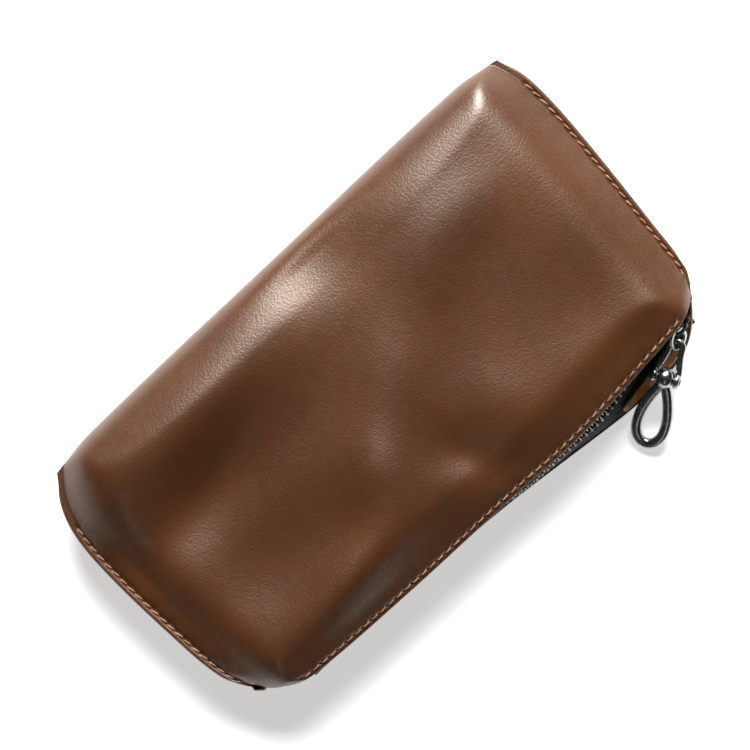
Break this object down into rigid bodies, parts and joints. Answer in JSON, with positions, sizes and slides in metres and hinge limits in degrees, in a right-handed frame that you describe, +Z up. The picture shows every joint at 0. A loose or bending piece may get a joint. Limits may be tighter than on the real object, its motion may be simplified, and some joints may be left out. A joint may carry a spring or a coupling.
{
  "type": "zippered pouch",
  "caption": "Soft leather pouch folded from one piece, sewn at both short ends and closed by a metal zipper along one long side, with a ring-and-loop pull.",
  "frame": {"origin": "on the resting plane, under the middle of the pouch, on the flat of the back panel", "axes": "+X along the zipper towards its closed end, +Y towards the fold, +Z up from the surface that the back panel lies on"},
  "size_m": [0.226, 0.1408, 0.034],
  "materials": {
    "leather": "smooth brown leather, satin, fine grain",
    "lining": "dark woven lining",
    "tape": "dark woven zipper tape",
    "teeth": "antique dark metal, worn bright on the crests",
    "slider": "dark plated metal",
    "ring": "polished nickel",
    "pull": "polished gunmetal",
    "thread": "twisted tan thread"
  },
  "bodies": {
    "pouch": {"leather_body": "leather", "lining_bag": "lining", "zipper_end_tab": "leather", "zipper_tape_front": "tape", "zipper_tape_back": "tape", "zipper_teeth_front": "teeth", "zipper_teeth_back": "teeth", "top_stop_front": "teeth", "top_stop_back": "teeth", "bottom_stop": "teeth", "stitch_mouth_front": "thread", "stitch_mouth_back": "thread", "stitch_left_front": "thread", "stitch_left_back": "thread", "stitch_right_front": "thread", "stitch_right_back": "thread"},
    "slider": {"slider_body": "slider"},
    "ring": {"pull_ring": "ring"},
    "link": {"pull_link": "pull", "pull_pin": "pull"},
    "loop": {"pull_loop": "pull"}
  },
  "joints": [
    {"name": "slider_travel", "type": "slide", "parent": "pouch", "child": "slider", "axis": [-1, 0, 0], "range_m": [0, 0.163], "deforming": ["zipper_teeth_front", "zipper_teeth_back", "zipper_tape_front", "zipper_tape_back"]},
    {"name": "ring_swing", "type": "hinge", "parent": "slider", "child": "ring", "pos_m": [0.0875, -0.06081, 0.01686], "axis": [-0.5319, 0.4638, 0.7085], "range_deg": [0, 50]},
    {"name": "link_swing", "type": "hinge", "parent": "ring", "child": "link", "pos_m": [0.08212, -0.0647, 0.01536], "axis": [-0.5319, 0.4638, 0.7085], "range_deg": [0, 13]},
    {"name": "loop_swing", "type": "hinge", "parent": "link", "child": "loop", "pos_m": [0.07231, -0.06995, 0.01409], "axis": [-0.4534, 0.8805, -0.1383], "range_deg": [0, 90]}
  ]
}
